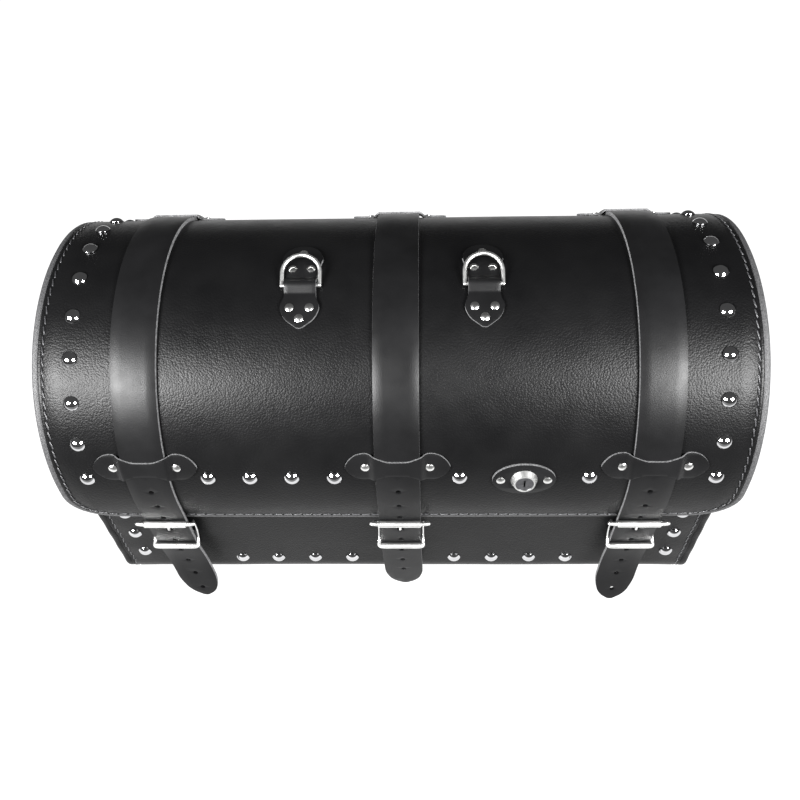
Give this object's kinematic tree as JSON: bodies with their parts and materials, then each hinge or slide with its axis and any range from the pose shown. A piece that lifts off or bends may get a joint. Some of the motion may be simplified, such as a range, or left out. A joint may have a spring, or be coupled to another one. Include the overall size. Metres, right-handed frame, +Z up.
{
  "type": "motorcycle luggage bag",
  "caption": "Leather luggage bag for a motorcycle rack: box case, half-round hinged lid with piped edge, buckled straps, cam lock, D-rings and dome studs.",
  "frame": {"origin": "on the underside of the base, midway between the ends and straight below the axis of the lid's curve", "axes": "+X to the bag's right, -Y is the front with the buckles, +Z up"},
  "size_m": [0.604, 0.3115, 0.3408],
  "materials": {
    "body_leather": "satin, fine pebble grain",
    "strap_leather": "smooth satin with raw edges",
    "piping_vinyl": "fine grained matt vinyl",
    "moulded_shell": "matt moulded",
    "felt_lining": "short needled felt",
    "chrome": "polished",
    "nickel_wire": "polished nickel",
    "zinc_steel": "zinc plated",
    "black_nylon": "matt moulded",
    "lock_black": "gloss black face"
  },
  "bodies": {
    "case": {"back_board": "moulded_shell", "back_panel": "body_leather", "case_bottom_studs": "chrome", "case_lining": "felt_lining", "case_shell": "moulded_shell", "case_side_studs": "chrome", "case_wrap": "body_leather", "clip_receivers": "black_nylon", "end_panel_left": "body_leather", "end_panel_right": "body_leather", "end_roll_left": "piping_vinyl", "end_roll_right": "piping_vinyl", "hinge_leaf_case": "body_leather", "hinge_rivets_case": "chrome", "rack_eyelets": "zinc_steel", "rack_plate": "zinc_steel", "receiver_rivets": "chrome", "strike_plate": "zinc_steel", "strike_rivets": "chrome"},
    "lid": {"back_keepers": "strap_leather", "buckle_chapes": "strap_leather", "buckle_frame_centre": "nickel_wire", "buckle_frame_left": "nickel_wire", "buckle_frame_right": "nickel_wire", "clip_tongues": "zinc_steel", "hinge_leaf_lid": "body_leather", "hinge_rivets_lid": "chrome", "keeper_centre": "strap_leather", "keeper_left": "strap_leather", "keeper_right": "strap_leather", "keeper_rivets": "chrome", "lid_core": "moulded_shell", "lid_front_studs": "chrome", "lid_lining": "felt_lining", "lid_piping": "piping_vinyl", "lid_side_studs": "chrome", "lid_skin": "body_leather", "lock_body": "chrome", "lock_nut": "zinc_steel", "lock_plate": "strap_leather", "lock_plate_rivets": "chrome", "ring_tab_left": "strap_leather", "ring_tab_right": "strap_leather", "strap_centre": "strap_leather", "strap_left": "strap_leather", "strap_right": "strap_leather", "strap_rivets": "chrome", "tab_rivets": "chrome"},
    "d_ring_left": {"d_ring_left": "nickel_wire"},
    "d_ring_right": {"d_ring_right": "nickel_wire"},
    "lock": {"lock_plug": "lock_black", "lock_cam": "zinc_steel"},
    "roller_left": {"roller_left": "nickel_wire"},
    "prong_left": {"prong_left": "nickel_wire"},
    "roller_centre": {"roller_centre": "nickel_wire"},
    "prong_centre": {"prong_centre": "nickel_wire"},
    "roller_right": {"roller_right": "nickel_wire"},
    "prong_right": {"prong_right": "nickel_wire"}
  },
  "joints": [
    {"name": "lid_hinge", "type": "hinge", "parent": "case", "child": "lid", "pos_m": [0, 0.153, 0.183], "axis": [-1, 0, 0], "range_deg": [0, 105]},
    {"name": "d_ring_left_swing", "type": "hinge", "parent": "lid", "child": "d_ring_left", "pos_m": [-0.08, -0.04321, 0.32588], "axis": [1, 0, 0], "range_deg": [0, 145]},
    {"name": "d_ring_right_swing", "type": "hinge", "parent": "lid", "child": "d_ring_right", "pos_m": [0.0735, -0.04321, 0.32588], "axis": [1, 0, 0], "range_deg": [0, 145]},
    {"name": "lock_turn", "type": "hinge", "parent": "lid", "child": "lock", "pos_m": [0.108, -0.14888, 0.19828], "axis": [0, -0.9925, 0.1219], "range_deg": [0, 90]},
    {"name": "roller_left_spin", "type": "hinge", "parent": "lid", "child": "roller_left", "pos_m": [-0.217, -0.15306, 0.13526], "axis": [1, 0, 0], "continuous": true},
    {"name": "prong_left_swing", "type": "hinge", "parent": "lid", "child": "prong_left", "pos_m": [-0.217, -0.14104, 0.11842], "axis": [1, 0, 0], "range_deg": [0, 6]},
    {"name": "roller_centre_spin", "type": "hinge", "parent": "lid", "child": "roller_centre", "pos_m": [0, -0.15306, 0.13526], "axis": [1, 0, 0], "continuous": true},
    {"name": "prong_centre_swing", "type": "hinge", "parent": "lid", "child": "prong_centre", "pos_m": [0, -0.14104, 0.11842], "axis": [1, 0, 0], "range_deg": [0, 6]},
    {"name": "roller_right_spin", "type": "hinge", "parent": "lid", "child": "roller_right", "pos_m": [0.217, -0.15306, 0.13526], "axis": [1, 0, 0], "continuous": true},
    {"name": "prong_right_swing", "type": "hinge", "parent": "lid", "child": "prong_right", "pos_m": [0.217, -0.14104, 0.11842], "axis": [1, 0, 0], "range_deg": [0, 6]}
  ]
}
